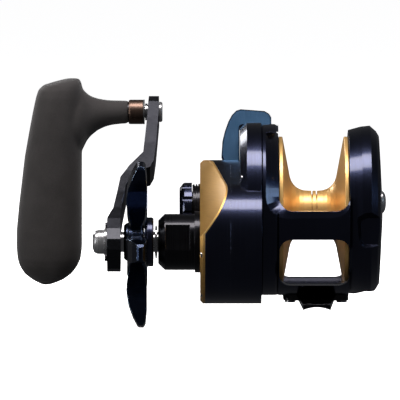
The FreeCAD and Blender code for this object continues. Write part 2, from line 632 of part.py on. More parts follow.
# the pin runs through the shaft: the shaft is bored for it
shaft_body = EXPORT[-1]
skp = sketch_on(shaft_body, "XZ_Plane", "shaft_pin_hole")
skp.addGeometry(Part.Circle(Vector(21.85, 0, 0), Vector(0, 0, 1), 0.6), False)
skp.addConstraint(Sketcher.Constraint("DistanceX", -1, 1, 0, 3, 21.85))
skp.addConstraint(Sketcher.Constraint("PointOnObject", 0, 3, -1))
skp.addConstraint(Sketcher.Constraint("Radius", 0, 0.6))
pkp = shaft_body.newObject("PartDesign::Pocket", "P_shaft_pin_hole")
pkp.Profile = skp
pkp.Type = "ThroughAll"
pkp.SideType = "Symmetric"
cross.Label = "cross_pin"
EXPORT.append(cross)

# click gear on the right face of the spool
n_click = 24
pts = []
for i in range(n_click):
    for f, r in ((0.0, 7.0), (0.30, 7.0), (0.55, 7.9), (0.75, 7.9)):
        y, z = polar(r, (i + f) * 360.0 / n_click)
        pts.append((y, z))
cg = prism_x(pts, 12.8, 14.6).cut(cyl(DIM["shaft_r"], 12, 16))
cg = cg.fuse(cyl(3.2, 14.59, 16.6).cut(cyl(DIM["shaft_r"], 14, 17))).removeSplitter()
feature("click_gear", solid_of(cg), "S")

# ---------------------------------------------------------------- gears
M = DIM["gear_module"]
ALPHA = math.radians(20.0)


def inv(a):
    return math.tan(a) - a


def gear_wire(z, shift, add, ded, backlash, x, phase):
    """Outline of a spur gear with true involute flanks."""
    r = M * z / 2.0
    rb = r * math.cos(ALPHA)
    ra = r + add * M
    rf = r - ded * M
    half = (M * (math.pi / 2 + 2 * shift * math.tan(ALPHA)) - backlash) / (2 * r)
    edges = []
    n = 9
    r0 = max(rb, rf)
    ang0 = None

    def flank(rr):
        a = math.acos(min(1.0, rb / rr))
        return half + inv(ALPHA) - inv(a)

    def P(rr, t):
        return Vector(x, rr * math.sin(t), rr * math.cos(t))

    prev = None
    first = None
    for i in range(int(z)):
        c = phase + 2 * math.pi * i / z
        up = []
        for k in range(n):
            rr = r0 + (ra - r0) * (k / (n - 1.0)) ** 1.4
            up.append((rr, flank(rr)))
        left = [P(rr, c - f) for rr, f in up]
        right = [P(rr, c + f) for rr, f in reversed(up)]
        root_l = P(rf, c - up[0][1])
        root_r = P(rf, c + up[0][1])
        if prev is not None:
            mid_t = (prev[1] + c - up[0][1]) / 2
            edges.append(Part.Arc(prev[0], P(rf, mid_t), root_l).toShape())
        else:
            first = (root_l, c - up[0][1])
        if r0 > rf + 1e-6:
            edges.append(Part.LineSegment(root_l, left[0]).toShape())
        bs = Part.BSplineCurve()
        bs.interpolate(left)
        edges.append(bs.toShape())
        edges.append(Part.Arc(left[-1], P(ra, c), right[0]).toShape())
        bs = Part.BSplineCurve()
        bs.interpolate(right)
        edges.append(bs.toShape())
        if r0 > rf + 1e-6:
            edges.append(Part.LineSegment(right[-1], root_r).toShape())
        prev = (root_r, c + up[0][1])
    mid_t = (prev[1] + first[1] + 2 * math.pi) / 2
    edges.append(Part.Arc(prev[0], P(rf, mid_t), first[0]).toShape())
    return Part.Wire(Part.__sortEdges__(edges))


zg, zp = DIM["gear_teeth"], DIM["pinion_teeth"]
# a gear tooth points at the pinion, where a pinion space faces it
toward = math.radians(LINE_DEG + 180.0)
gx0 = DIM["gear_left"]
gx1 = gx0 + DIM["gear_w"]
gw = gear_wire(zg, -0.4, 0.58, 1.67, 0.05, gx0, toward)
gear = Part.Face(gw).extrude(Vector(gx1 - gx0, 0, 0))
gear = gear.cut(spun([(gx0 - 1, 18.05), (gx0 + 2.6, 21.65), (gx0 + 2.6, 24.0), (gx0 - 1, 24.0)]))
gear = gear.cut(cyl(15.6, gx0 - 1, gx0 + 2.8))
gear = gear.cut(cyl(DIM["drive_r"], gx0 - 1, gx1 + 1))
for i in range(6):
    y, z = polar(10.5, i * 60.0)
    gear = gear.cut(cyl(2.2, gx0, gx1 + 1, y, z))
feature("main_gear", solid_of(gear), "H")

pw = gear_wire(zp, 0.4, 1.38, 0.87, 0.05, -39.9, math.radians(LINE_DEG) + math.pi / zp)
teeth = Part.Face(pw).extrude(Vector(6.9, 0, 0))
pin = teeth.fuse([
    cyl(2.9, -43.6, -39.89),
    cyl(2.9, -33.01, -31.39),
    cyl(4.2, -31.4, -27.4),
])
pin = pin.cut(cyl(DIM["shaft_r"] + rg, -45, -26))
pin = pin.cut(box(-28.9, -27.0, -6, 6, -0.75, 0.75))
feature("pinion", solid_of(pin), "S")

# ---------------------------------------------------------------- drag stack and drive shaft
turned("drive_shaft", "H", "drive_left", [
    (0, 0), (0, 2.2), (0.4, 2.6), (3.4, 2.6), (3.4, C("drive_r", -0.4)), (3.8, C("drive_r")),
    (53.2, C("drive_r")), (53.2, 6.0), (54.2, 6.0), (54.2, C("drive_r")), (C("drive_length"), C("drive_r")), (C("drive_length"), 0),
])


def washer(label, axis, x, a, b, r0, r1, keep=True):
    return turned(label, axis, x, [(a, r0), (a, r1), (b, r1), (b, r0)], keep)


washer("drag_washer_inner", "H", "gear_left", 2.1, 2.8, 5.4, C("drag_r"))
washer("drag_plate_inner", "H", "gear_left", 1.3, 2.1, C("drive_r"), C("drag_r"))
washer("drag_washer_outer", "H", "gear_left", 0.6, 1.3, 5.4, C("drag_r"))
washer("drag_plate_outer", "H", "gear_left", 0, 0.6, C("drive_r"), C("drag_r"))
n_r = 12
pts = []
for i in range(n_r):
    for f, r in ((0.0, 7.2), (0.12, 9.0), (0.2, 9.0), (0.95, 7.2)):
        pts.append(polar(r, (i + f) * 360.0 / n_r))
rw = prism_x(pts, -35.5, -34.0).cut(cyl(DIM["drive_r"], -36, -33))
feature("ratchet_wheel", solid_of(rw), "H")
washer("ratchet_spacer", "H", "gear_left", 5.5, 5.7, C("drive_r"), 6.0)
turned("roller_sleeve", "H", "housing_left", [
    (0, C("drive_r")), (0, 5.0), (23.3, 5.0), (23.3, C("drive_r")),
])

# ---------------------------------------------------------------- drive housing and roller clutch
hs = turned("drive_housing", "H", "housing_left", [
    (0, 6.2), (0, 8.6), (2.6, C("housing_r")), (14.5, C("housing_r")), (14.5, 12.2), (C("plate_left", 0, 1, "housing_left"), 12.2),
    (C("plate_left", 0, 1, "housing_left"), 8.5), (C("cover_left", 1.9, 1, "housing_left"), 8.5), (C("cover_left", 1.9, 1, "housing_left"), 5.6),
    (C("clutch_left", 10.0, 1, "housing_left"), 5.6), (C("clutch_left", 10.0, 1, "housing_left"), C("clutch_r")), (C("clutch_left", 0, 1, "housing_left"), C("clutch_r")),
    (C("clutch_left", 0, 1, "housing_left"), 6.2),
])
for tag, sg in (("flat_front", 1), ("flat_rear", -1)):
    skf = sketch_on(hs, "YZ_Plane", tag)
    skf.AttachmentOffset = FreeCAD.Placement(Vector(0, 0, 3.0), FreeCAD.Rotation())
    fy, fz = -sg * math.cos(math.radians(15.0)), sg * math.sin(math.radians(15.0))
    gy, gz = -fz, fy
    polygon(skf, [(fy * 9.9 + gy * 8, fz * 9.9 + gz * 8), (fy * 13 + gy * 8, fz * 13 + gz * 8), (fy * 13 - gy * 8, fz * 13 - gz * 8), (fy * 9.9 - gy * 8, fz * 9.9 - gz * 8)])
    pkf = hs.newObject("PartDesign::Pocket", "P_" + tag)
    pkf.Profile = skf
    pkf.Type = "Length"
    pkf.Length = 9.6
    pkf.Reversed = True
washer("housing_seal", "H", "housing_left", 0.6, 3.2, 5.08, 6.2)
washer("roller_clutch_ring", "H", "clutch_left", 0, C("clutch_w"), 7.25, C("clutch_r"))
cage = turned("roller_cage", "H", "clutch_left", [(0.2, 5.5), (0.2, 7.0), (9.8, 7.0), (9.8, 5.5)])
skc = sketch_on(cage, "YZ_Plane", "cage_pockets")
for n in range(8):
    y, z = polar(6.25, n * 45.0)
    skc.addGeometry(Part.Circle(Vector(y, z, 0), Vector(0, 0, 1), 1.05), False)
    skc.addConstraint(Sketcher.Constraint("DistanceX", -1, 1, n, 3, y))
    skc.addConstraint(Sketcher.Constraint("DistanceY", -1, 1, n, 3, z))
    skc.addConstraint(Sketcher.Constraint("Radius", n, 1.05))
pkc = cage.newObject("PartDesign::Pocket", "P_cage_pockets")
pkc.Profile = skc
pkc.Type = "Length"
pkc.Length = 9.0
pkc.Reversed = True
rollers = [cyl(1.0, -59.2, -50.8, *polar(6.25, n * 45.0)) for n in range(8)]
feature("clutch_rollers", Part.makeCompound(rollers), "H")

# ---------------------------------------------------------------- star drag
belle = spun([(-64.2, 4.05), (-63.9, 6.6), (-63.6, 6.6), (-63.9, 4.05)]).fuse(
    spun([(-63.3, 4.05), (-63.6, 6.6), (-63.3, 6.6), (-63.0, 4.05)])).removeSplitter()
feature("drag_spring_washers", belle, "H")
slv = turned("drag_sleeve", "H", "star_left", [
    (8.2, C("drive_r", 0.06)), (8.2, 7.6), (9.0, 9.4), (9.4, 9.8), (11.3, 9.8), (11.8, 9.4), (11.8, C("drive_r", 0.06)),
])

hub = spun([(-76.4, 4.06), (-76.4, 6.6), (-75.2, 7.6), (-74.6, 7.6), (-74.2, 6.6), (-73.2, 6.6), (-73.0, 7.2), (-69.2, 7.2), (-68.4, 6.6), (-68.4, 4.06)])
arms = []
for k in range(5):
    # edge profile of one arm in (x, r), then its plan width
    prof = [(-73.0, 5.0), (-74.0, 11.0), (-75.1, 16.0), (-75.4, 20.0), (-74.6, 25.0), (-72.8, 30.0), (-70.9, 33.6), (-70.2, 34.0),
            (-68.6, 34.0), (-67.7, 32.4), (-67.2, 27.0), (-67.2, 18.0), (-68.0, 12.0), (-69.4, 8.0), (-69.4, 5.0)]
    w = Part.makePolygon([Vector(p[0], 0, p[1]) for p in prof] + [Vector(prof[0][0], 0, prof[0][1])])
    blade = Part.Face(w).extrude(Vector(0, 12, 0))
    blade.translate(Vector(0, -6, 0))
    planw = [(-3.2, 4.0), (-3.0, 9.0), (-3.3, 16.0), (-4.2, 24.0), (-4.4, 29.0), (-3.4, 33.2), (-2.0, 34.4), (2.0, 34.4), (3.4, 33.2), (4.4, 29.0), (4.2, 24.0), (3.3, 16.0), (3.0, 9.0), (3.2, 4.0)]
    plan = prism_x(planw, -80, -60)
    arm = blade.common(plan)
    arms.append(spin(arm, -(51.0 + 72.0 * k)))
star = hub.fuse(arms).cut(cyl(4.06, -80, -60)).removeSplitter()
feature("star_drag", solid_of(star), "H")

# ---------------------------------------------------------------- handle arm
ar = DIM["arm_reach"]
edge_l = [(-83.0, -12.5), (-83.0, 4.0), (-81.8, 8.0), (-80.7, 11.0), (-78.8, 24.6), (-78.0, 30.5), (-74.5, 37.1),
          (-69.0, 44.7), (-67.8, 60.0), (-66.9, 76.0), (-66.1, ar + 6.4)]
edge_r = [(-62.8, ar + 6.4), (-62.7, 70.0), (-63.9, 48.6), (-64.7, 40.0), (-66.2, 36.2), (-70.0, 34.9), (-71.8, 34.3),
          (-73.8, 30.6), (-75.6, 26.5), (-76.4, 21.0), (-77.2, 16.0), (-77.6, 12.0), (-77.6, -11.6), (-79.0, -12.5)]
w = Part.makePolygon([Vector(x, 0, z) for x, z in edge_l + edge_r] + [Vector(edge_l[0][0], 0, edge_l[0][1])])
blade = Part.Face(w).extrude(Vector(0, 24, 0))
blade.translate(Vector(0, -12, 0))
half = [(3.0, -11.8), (6.4, -10.2), (9.2, -7.0), (10.0, -2.0), (9.6, 4.0), (7.8, 12.0), (6.3, 22.0), (5.5, 34.0), (5.4, 50.0), (5.8, 64.0),
        (6.2, ar), (5.3, ar + 3.8), (2.8, ar + 5.9)]
plan_pts = half + [(-w_, z_) for w_, z_ in reversed(half)]
plan = prism_x(plan_pts, -90, -55)
arm = blade.common(plan)
arm = arm.cut(cyl(DIM["drive_r"], -90, -70))
arm = arm.cut(cyl(3.0, -70, -55, 0, ar))
ARM_SCREWS = [(0.0, 8.6), (0.0, -8.4)]
for y, z in ARM_SCREWS:
    arm = arm.cut(cyl(1.2, -84, -79.4, y, z))
arm = spin(arm, -DIM["arm_lean"])
feature("handle_arm", solid_of(arm), "H")
screws = [spin(screw(-83.9, y, z, 1.5, 0.9, 1.2, 3.4, 0.8), -DIM["arm_lean"]) for y, z in ARM_SCREWS]
feature("arm_screws", Part.makeCompound(screws), "H")
capn = spun([(-88.8, 0), (-88.8, 2.4), (-88.3, 3.9), (-87.6, 4.5), (-86.6, 4.8), (-84.2, 4.8), (-84.2, 2.6), (-87.0, 2.6), (-87.0, 0)])
feature("handle_nut", capn, "H")
hw = spun([(-84.2, 2.6), (-84.2, 5.4), (-83.0, 5.4), (-83.0, 4.0), (-83.6, 4.0), (-83.6, 2.6)])
feature("handle_washer", hw, "H")

# ---------------------------------------------------------------- knob spindle, nut, washers
spindle = spun([(-108.0, 0), (-108.0, 2.4), (-68.4, 2.4), (-68.4, 3.4), (-67.5, 3.4), (-67.5, 3.0), (-61.4, 3.0), (-61.4, 0)])
feature("knob_spindle", spindle, "K")
nut = spun([(-62.7, 3.0), (-62.7, 4.1), (-61.9, 4.1), (-61.4, 3.6), (-61.4, 3.0)])
feature("spindle_nut", nut, "K")
# ---------------------------------------------------------------- knob
collar = spun([(-75.0, 3.0), (-75.0, 4.75), (-74.4, 4.95), (-69.4, 4.95), (-69.2, 4.75), (-69.2, 3.0)])
feature("knob_collar", collar, "K")
flange = spun([(-69.2, 2.5), (-69.2, 5.0), (-68.6, 5.0), (-68.6, 2.5)])
feature("knob_flange", flange, "K")
kb = []
for a in (-104.0, -73.5):
    rb = 3.6 if a < -80 else 3.0
    kb.append(spun([(a, 2.45), (a, rb), (a + 3.0, rb), (a + 3.0, 2.45)]))
feature("knob_bushes", Part.makeCompound(kb), "K")
# core tube inside the grip
core = spun([(-105.0, 3.6), (-105.0, 4.2), (-75.0, 4.2), (-75.0, 2.9), (-100.9, 2.9), (-100.9, 3.6)])
feature("knob_core", core, "K")
# grip: neck along X that flares into a vertical cross bar
neck = spun([(-109.0, 0), (-109.0, 4.7), (-86.4, 4.7), (-75.0, 4.7), (-75.0, 0)])
flare = spun([(-109.0, 0), (-109.0, 10.5), (-97.0, 10.5), (-94.3, 8.0), (-91.0, 6.2), (-87.0, 5.2), (-82.0, 4.7), (-82.0, 0)])
secs = []
for z, cx, rx, ry in ((13.8, -99.9, 8.0, 6.5), (10.4, -103.2, 12.2, 9.6), (6.0, -104.3, 12.6, 11.2), (0.0, -105.2, 12.9, 11.8), (-18.0, -106.5, 13.3, 12.4),
                      (-38.0, -107.6, 13.1, 12.4), (-49.0, -107.6, 13.0, 12.2), (-58.0, -107.4, 12.4, 11.6), (-63.5, -107.6, 11.0, 10.0), (-67.2, -108.6, 8.2, 7.4), (-69.8, -109.4, 3.6, 3.4)):
    e = Part.Ellipse(Vector(cx, 0, z), rx, ry) if rx >= ry else None
    w = Part.Wire([e.toShape()])
    secs.append(w)
bar = Part.makeLoft(secs, True, False)
grip = bar.fuse([neck, flare]).removeSplitter()
grip = grip.cut(spun([(-109.2, 0), (-109.2, 4.2), (-74.0, 4.2), (-74.0, 0)]))
feature("knob_grip", solid_of(grip), "K")
kscrew = spun([(-108.0, 0), (-108.0, 2.4), (-108.0, 3.3), (-108.9, 3.3), (-108.9, 0)])
feature("knob_screw", kscrew, "K")

# ---------------------------------------------------------------- clutch: lever, yoke, springs, guides
LEVER_DEG = 27.0
LEVER_TURN = 30.0
YOKE_TRAVEL = 1.8
kslope = YOKE_TRAVEL / math.radians(LEVER_TURN)
rf_ = 8.5
hubr = cyl(10.8, -30.45, -28.2).cut(cyl(6.0, -32, -28))
out = [(-32.2, 10.0), (-32.2, 21.2), (-36.6, 21.2), (-37.6, 24.0), (-37.2, 30.0), (-36.2, 34.4), (-34.8, 38.6), (-33.4, 41.4), (-31.6, 43.4), (-29.8, 44.0), (-20.2, 43.2), (-18.4, 42.0), (-17.5, 40.4), (-17.5, 37.0),
       (-29.6, 37.0), (-30.35, 36.0), (-30.35, 10.0)]
w = Part.makePolygon([Vector(p[0], 0, p[1]) for p in out] + [Vector(out[0][0], 0, out[0][1])])
paddle = Part.Face(w).extrude(Vector(0, 3.0, 0))
paddle.translate(Vector(0, -1.5, 0))
paddle = spin(paddle, -LEVER_DEG)
ramps = []
for k in range(2):
    base = YOKE_DEG + 180 * k
    # the lever turns towards the rear, so the ramp climbs ahead of the follower, on the side it comes from
    a0, a1 = base - 38.0, base + 9.0
    sec = prism_x([(0, 0), polar(40, a0), polar(40, (a0 + a1) / 2), polar(40, a1)], -32.2, -30.3)
    rg_ = cyl(10.4, -32.2, -30.3).cut(cyl(6.6, -33, -30)).common(sec)
    # tilted plane: x = -30.5 at the follower, climbing to -32.3 after 30 degrees
    am = base - LEVER_TURN / 2
    ym, zm = polar(rf_, am)
    slab = box(-10, 0, -30, 30, -30, 30)
    # tangential direction at am (increasing angle): derivative of polar
    ty, tz = math.cos(math.radians(am)), -math.sin(math.radians(am))
    beta = math.atan2(kslope, rf_)
    # normal of the plane: surface x rises (towards +X) with increasing angle
    n = Vector(math.cos(beta), -math.sin(beta) * ty, -math.sin(beta) * tz)
    big = Part.makeBox(60, 60, 12, Vector(-30, -30, 0))
    rot = Rotation(Vector(0, 0, 1), n * -1)
    big.Placement = Placement(Vector(-30.5 - YOKE_TRAVEL / 2, ym, zm), rot)
    rg_ = rg_.cut(big)
    ramps.append(rg_)
lever = hubr.fuse([paddle] + ramps).removeSplitter()
feature("clutch_lever", solid_of(lever), "S")

bar_pts = [(-2.1, -17.0), (2.1, -17.0), (2.1, 17.0), (-2.1, 17.0)]
yk = prism_x(bar_pts, -32.9, -31.5)
yk = yk.fuse([cyl(5.3, -32.9, -31.5), cyl(2.6, -32.9, -31.5, 0, 14.6), cyl(2.6, -32.9, -31.5, 0, -14.6)])
yk = yk.cut(cyl(3.0, -34, -30)).cut(cyl(1.06, -34, -30, 0, 14.6)).cut(cyl(1.06, -34, -30, 0, -14.6))
yk = yk.cut(box(-34, -30, 0, 8, -3.0, 3.0))
for s in (-1, 1):
    yk = yk.fuse(Part.makeSphere(0.8, Vector(-31.45, 0, s * rf_)))
yk = spin(yk.removeSplitter(), -YOKE_DEG)
feature("clutch_yoke", solid_of(yk), "S")
gp = [cyl(1.0, -41.4, -22.8, y, z).fuse(cyl(1.8, -41.4, -40.8, y, z)) for y, z in GUIDES]
feature("yoke_guides", Part.makeCompound([g.removeSplitter() for g in gp]), "S")


def coil(y, z, x0, x1, r, wire, turns):
    pitch = (x1 - x0 - 2 * wire) / turns
    hx = Part.makeHelix(pitch, pitch * turns, r)
    prof = Part.Wire([Part.Circle(Vector(r, 0, 0), Vector(0, 1, 0), wire).toShape()])
    s = Part.Wire(hx.Edges).makePipeShell([prof], True, True)
    s.rotate(Vector(0, 0, 0), Vector(0, 1, 0), 90)
    s.translate(Vector(x0 + wire, y, z))
    return s


feature("yoke_springs", Part.makeCompound([coil(y, z, -40.8, -32.92, 1.6, 0.25, 6) for y, z in GUIDES]), "S")

# ---------------------------------------------------------------- anti-reverse pawl
pp = cyl(0.8, -35.4, -22.8, PAWL[0], PAWL[1]).fuse(cyl(1.3, -34.12, -24.6, PAWL[0], PAWL[1])).removeSplitter()
feature("pawl_pin", pp, "S")
# pawl body about its pin, lying along the wheel's rim and clear of it
py, pz = PAWL
ux, uz = (HY - py), (HZ - pz)
du = math.hypot(ux, uz)
ux, uz = ux / du, uz / du
tx, tz_ = -uz, ux
outl = [(-2.0, -1.6), (6.4, 1.2), (7.2, 2.6), (6.0, 2.9), (-1.0, 2.0), (-2.2, 0.6)]
pp2 = [(py + a * tx + b * ux, pz + a * tz_ + b * uz) for a, b in outl]
pw_ = prism_x(pp2, -35.3, -34.2).fuse(cyl(2.1, -35.3, -34.2, py, pz)).cut(cyl(0.86, -36, -33, py, pz)).removeSplitter()
feature("anti_reverse_pawl", solid_of(pw_), "S")

# ---------------------------------------------------------------- click button
bt = spun([(25.7, 0), (25.7, 4.6), (26.3, 4.6), (27.0, 4.0), (27.6, 2.8), (27.8, 1.4), (27.8, 0)])
bt.translate(Vector(0, CLICK_Y, CLICK_Z))
bt = bt.fuse(cyl(1.4, 17.6, 25.8, CLICK_Y, CLICK_Z)).removeSplitter()
feature("click_button", solid_of(bt), "S")
tongue = prism_x([(CLICK_Y - 1.4, CLICK_Z - 1.2), (CLICK_Y + 2.2, CLICK_Z - 0.6), (CLICK_Y + 2.6, CLICK_Z), (CLICK_Y + 2.2, CLICK_Z + 0.6), (CLICK_Y - 1.4, CLICK_Z + 1.2)], 13.5, 14.5)
tongue = tongue.fuse(cyl(1.1, 13.5, 17.6, CLICK_Y, CLICK_Z)).removeSplitter()
feature("click_pawl", solid_of(tongue), "S")

# ---------------------------------------------------------------- recompute, check, export
doc.recompute()
bad = 0
for ob in doc.Objects:
    st = list(ob.State)
    if "Invalid" in st or "Error" in st:
        print("BAD STATE", ob.Label, st)
        bad += 1
os.makedirs("parts", exist_ok=True)
for old in os.listdir("parts"):
    if old.endswith(".step"):
        os.remove(os.path.join("parts", old))
for ob in EXPORT:
    shp = ob.Shape
    if shp.isNull() or not shp.isValid() or len(shp.Solids) < 1:
        print("BAD SHAPE", ob.Label, shp.isNull(), shp.isValid(), len(shp.Solids))
        bad += 1
        continue
    shp.exportStep("parts/%s.step" % ob.Label)
print("nodes", len(EXPORT), "problems", bad)
if bad:
    raise RuntimeError("the model has %d problems" % bad)
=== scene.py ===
import bpy
import bmesh
import math
from mathutils import Vector, Matrix


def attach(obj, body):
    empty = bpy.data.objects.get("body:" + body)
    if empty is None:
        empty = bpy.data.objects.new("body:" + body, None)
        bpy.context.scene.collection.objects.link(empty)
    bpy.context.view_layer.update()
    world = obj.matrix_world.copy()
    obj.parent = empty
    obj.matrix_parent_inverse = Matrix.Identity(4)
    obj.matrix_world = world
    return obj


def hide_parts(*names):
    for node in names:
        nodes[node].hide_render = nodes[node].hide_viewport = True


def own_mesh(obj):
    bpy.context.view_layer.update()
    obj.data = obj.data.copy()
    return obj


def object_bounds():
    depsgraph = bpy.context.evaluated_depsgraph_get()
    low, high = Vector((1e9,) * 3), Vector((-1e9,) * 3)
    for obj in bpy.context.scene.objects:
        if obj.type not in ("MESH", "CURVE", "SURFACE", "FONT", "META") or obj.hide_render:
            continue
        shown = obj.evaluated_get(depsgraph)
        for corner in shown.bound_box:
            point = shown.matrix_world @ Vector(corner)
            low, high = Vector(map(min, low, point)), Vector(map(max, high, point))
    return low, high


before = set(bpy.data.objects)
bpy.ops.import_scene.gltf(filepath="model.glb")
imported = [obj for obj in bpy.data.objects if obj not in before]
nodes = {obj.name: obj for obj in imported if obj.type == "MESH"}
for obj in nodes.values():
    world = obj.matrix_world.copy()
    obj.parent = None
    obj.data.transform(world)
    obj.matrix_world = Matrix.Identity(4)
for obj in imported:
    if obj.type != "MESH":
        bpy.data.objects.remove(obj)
cad_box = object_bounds()
scene = bpy.context.scene
scene.view_settings.view_transform = "Standard"
scene.view_settings.look = "None"

MM = 0.001
ZS = 0.0357
YH, ZH = -0.0216, 0.0252386
YK, ZK = 0.0322037, 0.0736837


# ------------------------------------------------------------------ materials
def new_mat(name):
    m = bpy.data.materials.new(name)
    m.use_nodes = True
    nt = m.node_tree
    for n in list(nt.nodes):
        nt.nodes.remove(n)
    out = nt.nodes.new("ShaderNodeOutputMaterial")
    bsdf = nt.nodes.new("ShaderNodeBsdfPrincipled")
    nt.links.new(bsdf.outputs["BSDF"], out.inputs["Surface"])
    return m, nt, bsdf


def ramp(nt, lo, hi, a, b):
    r = nt.nodes.new("ShaderNodeValToRGB")
    r.color_ramp.elements[0].position = lo
    r.color_ramp.elements[0].color = (*a, 1)
    r.color_ramp.elements[1].position = hi
    r.color_ramp.elements[1].color = (*b, 1)
    return r


def mapped(nt, scale):
    tc = nt.nodes.new("ShaderNodeTexCoord")
    mp = nt.nodes.new("ShaderNodeMapping")
    mp.inputs["Scale"].default_value = scale
    nt.links.new(tc.outputs["Object"], mp.inputs["Vector"])
    return mp.outputs["Vector"]


def noise_tex(nt, vec, scale, detail=3.0, rough=0.5):
    n = nt.nodes.new("ShaderNodeTexNoise")
    n.inputs["Scale"].default_value = scale
    n.inputs["Detail"].default_value = detail
    n.inputs["Roughness"].default_value = rough
    nt.links.new(vec, n.inputs["Vector"])
    return n.outputs["Fac"]


def math_node(nt, op, a, b=None, clamp=False):
    n = nt.nodes.new("ShaderNodeMath")
    n.operation = op
    n.use_clamp = clamp
    for i, v in enumerate((a, b)):
        if v is None:
            continue
        if isinstance(v, (int, float)):
            n.inputs[i].default_value = v
        else:
            nt.links.new(v, n.inputs[i])
    return n.outputs[0]


def map_range(nt, v, a, b, c, d):
    n = nt.nodes.new("ShaderNodeMapRange")
    n.inputs[1].default_value = a
    n.inputs[2].default_value = b
    n.inputs[3].default_value = c
    n.inputs[4].default_value = d
    nt.links.new(v, n.inputs[0])
    return n.outputs[0]


def mix_rgb(nt, fac, a, b):
    n = nt.nodes.new("ShaderNodeMix")
    n.data_type = "RGBA"
    ins = [s for s in n.inputs if s.type == "RGBA"]
    f = [s for s in n.inputs if s.type == "VALUE"][0]
    if isinstance(fac, (int, float)):
        f.default_value = fac
    else:
        nt.links.new(fac, f)
    for sock, v in zip(ins, (a, b)):
        if isinstance(v, tuple):
            sock.default_value = (*v, 1)
        else:
            nt.links.new(v, sock)
    return [s for s in n.outputs if s.type == "RGBA"][0]


def edge_mask(nt, radius, lo=0.02, hi=0.25):
    """1 along sharp edges: where the rounded normal leaves the face's own."""
    bv = nt.nodes.new("ShaderNodeBevel")
    bv.samples = 4
    bv.inputs["Radius"].default_value = radius
    ge = nt.nodes.new("ShaderNodeNewGeometry")
    dot = nt.nodes.new("ShaderNodeVectorMath")
    dot.operation = "DOT_PRODUCT"
    nt.links.new(bv.outputs["Normal"], dot.inputs[0])
    nt.links.new(ge.outputs["Normal"], dot.inputs[1])
    inv = math_node(nt, "SUBTRACT", 1.0, dot.outputs["Value"])
    return bv, map_range(nt, inv, lo, hi, 0.0, 1.0)


# edge: lighter colour mixed into the base colour along bevelled edges, a painted highlight
def metal(name, dark, light, edge, rough=0.28, spread=0.08, streak=(2600, 30, 30), bump=0.003,
          radius=0.00022, metallic=1.0, edge_highlight_amount=0.6, coat=0.0, aniso=0.0):
    m, nt, b = new_mat(name)
    vec = mapped(nt, streak)
    fine = noise_tex(nt, vec, 1.0, 2.0, 0.6)
    broad = noise_tex(nt, mapped(nt, (90, 90, 90)), 1.0, 3.0, 0.55)
    mixf = math_node(nt, "ADD", math_node(nt, "MULTIPLY", fine, 0.55), math_node(nt, "MULTIPLY", broad, 0.45))
    r = ramp(nt, 0.32, 0.68, dark, light)
    nt.links.new(mixf, r.inputs["Fac"])
    # painted highlight: the lighter edge colour is mixed in along bevelled edges, where the lights glint on the
    # rounded edge
    bv, em = edge_mask(nt, radius)
    edge_highlight_mask = math_node(nt, "MULTIPLY", em, edge_highlight_amount)
    col = mix_rgb(nt, edge_highlight_mask, r.outputs["Color"], edge)
    nt.links.new(col, b.inputs["Base Color"])
    b.inputs["Metallic"].default_value = metallic
    nt.links.new(map_range(nt, mixf, 0.25, 0.75, rough - spread, rough + spread), b.inputs["Roughness"])
    bp = nt.nodes.new("ShaderNodeBump")
    bp.inputs["Strength"].default_value = bump
    bp.inputs["Distance"].default_value = 0.0002
    nt.links.new(fine, bp.inputs["Height"])
    nt.links.new(bv.outputs["Normal"], bp.inputs["Normal"])
    nt.links.new(bp.outputs["Normal"], b.inputs["Normal"])
    if coat:
        b.inputs["Coat Weight"].default_value = coat
        b.inputs["Coat Roughness"].default_value = 0.12
    return m


def plastic(name, dark, light, rough=0.5, scale=4000, bump=0.15, sheen=0.0, dist=0.0002, spec=0.5):
    m, nt, b = new_mat(name)
    n1 = noise_tex(nt, mapped(nt, (scale, scale, scale)), 1.0, 3.0, 0.6)
    n2 = noise_tex(nt, mapped(nt, (120, 120, 120)), 1.0, 3.0, 0.5)
    r = ramp(nt, 0.3, 0.7, dark, light)
    nt.links.new(math_node(nt, "ADD", math_node(nt, "MULTIPLY", n1, 0.6), math_node(nt, "MULTIPLY", n2, 0.4)), r.inputs["Fac"])
    nt.links.new(r.outputs["Color"], b.inputs["Base Color"])
    nt.links.new(map_range(nt, n1, 0.2, 0.8, rough - 0.06, rough + 0.08), b.inputs["Roughness"])
    b.inputs["Specular IOR Level"].default_value = spec
    bp = nt.nodes.new("ShaderNodeBump")
    bp.inputs["Strength"].default_value = bump
    bp.inputs["Distance"].default_value = dist
    nt.links.new(n1, bp.inputs["Height"])
    bv = nt.nodes.new("ShaderNodeBevel")
    bv.samples = 4
    bv.inputs["Radius"].default_value = 0.0002
    nt.links.new(bv.outputs["Normal"], bp.inputs["Normal"])
    nt.links.new(bp.outputs["Normal"], b.inputs["Normal"])
    if sheen:
        b.inputs["Sheen Weight"].default_value = sheen
        b.inputs["Sheen Roughness"].default_value = 0.5
    return m


NAVY = metal("navy_anodised", (0.014, 0.017, 0.036), (0.022, 0.027, 0.054), (0.12, 0.13, 0.20), rough=0.26, spread=0.015, bump=0.001, coat=0.5)
